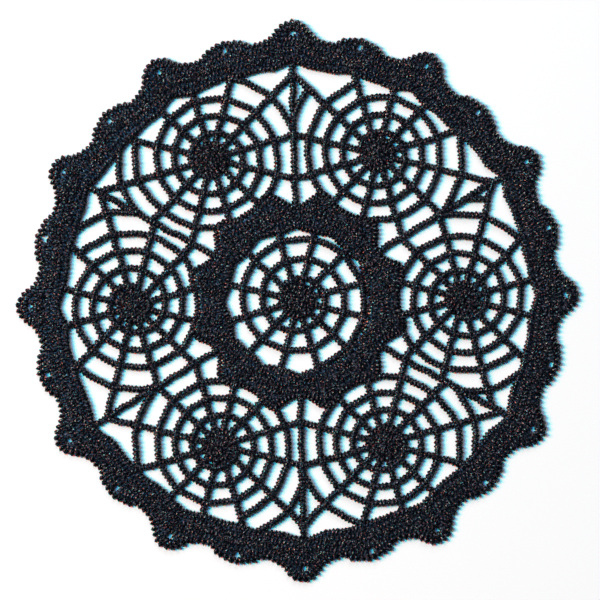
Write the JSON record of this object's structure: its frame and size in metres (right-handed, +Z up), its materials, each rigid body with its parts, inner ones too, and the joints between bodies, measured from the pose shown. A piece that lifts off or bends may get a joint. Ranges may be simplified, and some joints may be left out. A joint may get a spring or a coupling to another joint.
{
  "type": "lace doily",
  "caption": "Round lace doily, flat: a lobed outer band, an inner ring and round spoked webs between them and in the middle.",
  "frame": {"origin": "centre of the lace, on the surface that it lies on", "axes": "+Z up out of the lace, +X and +Y through picots"},
  "size_m": [0.15, 0.15, 0.002],
  "materials": {
    "black_thread": "wrapped polyester thread with a soft sheen"
  },
  "bodies": {
    "root": {"doily": "black_thread"}
  },
  "joints": []
}
